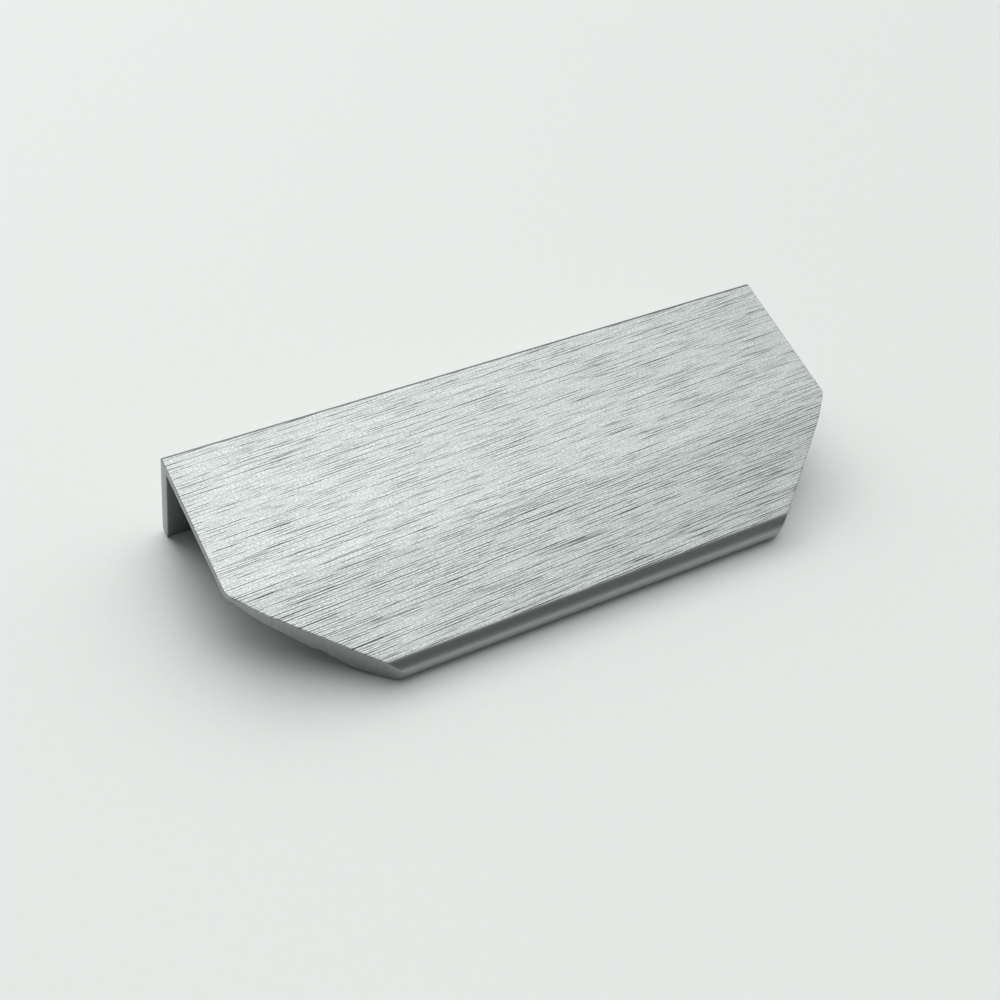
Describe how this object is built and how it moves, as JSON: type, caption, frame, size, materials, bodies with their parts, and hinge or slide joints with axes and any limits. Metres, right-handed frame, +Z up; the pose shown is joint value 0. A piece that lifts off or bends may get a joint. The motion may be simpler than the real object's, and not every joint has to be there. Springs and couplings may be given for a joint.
{
  "type": "cabinet pull",
  "caption": "Aluminium edge pull for a door or drawer front: a screw leg behind it, a brushed plate over its edge, cut-off front corners and a rounded nose turned down.",
  "frame": {"origin": "bottom centre of the bounding box, on the floor the pull lies on", "axes": "+X along the length of the pull, -Y towards its nose, +Z up; the pull lies on the toe of its leg and on its nose, so its plate slopes down to the front"},
  "size_m": [0.1, 0.0436, 0.018],
  "materials": {
    "aluminium": "hairline brushed top, satin anodised elsewhere"
  },
  "bodies": {
    "root": {"edge_pull": "aluminium"}
  },
  "joints": []
}
